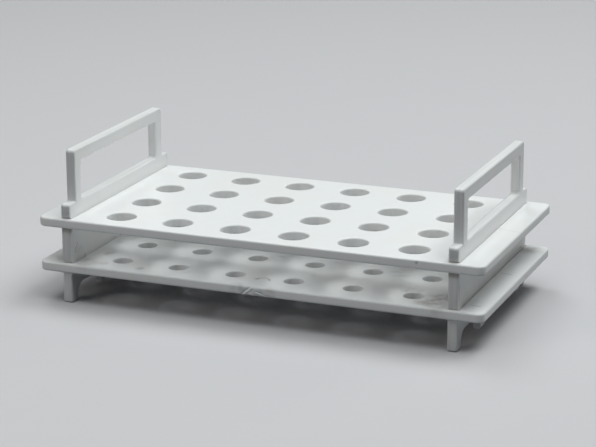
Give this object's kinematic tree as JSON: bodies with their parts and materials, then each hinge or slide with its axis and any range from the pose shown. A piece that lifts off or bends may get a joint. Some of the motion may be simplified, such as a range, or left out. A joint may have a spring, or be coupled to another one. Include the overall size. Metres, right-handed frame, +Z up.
{
  "type": "microcentrifuge tube rack",
  "caption": "Open white plastic rack: two shelves with a grid of round tube holes between two end frames, each with feet and a looped lifting handle.",
  "frame": {"origin": "on the table under the middle of the rack", "axes": "+X along the rack's length to the right, +Y across it away from the front, +Z up"},
  "size_m": [0.1736, 0.0862, 0.0578],
  "materials": {
    "white_plastic": "semi-gloss moulded white polypropylene, slightly cool, with faint flow marks"
  },
  "bodies": {
    "root": {"upper_shelf": "white_plastic", "lower_shelf": "white_plastic", "left_end_frame": "white_plastic", "right_end_frame": "white_plastic"}
  },
  "joints": []
}
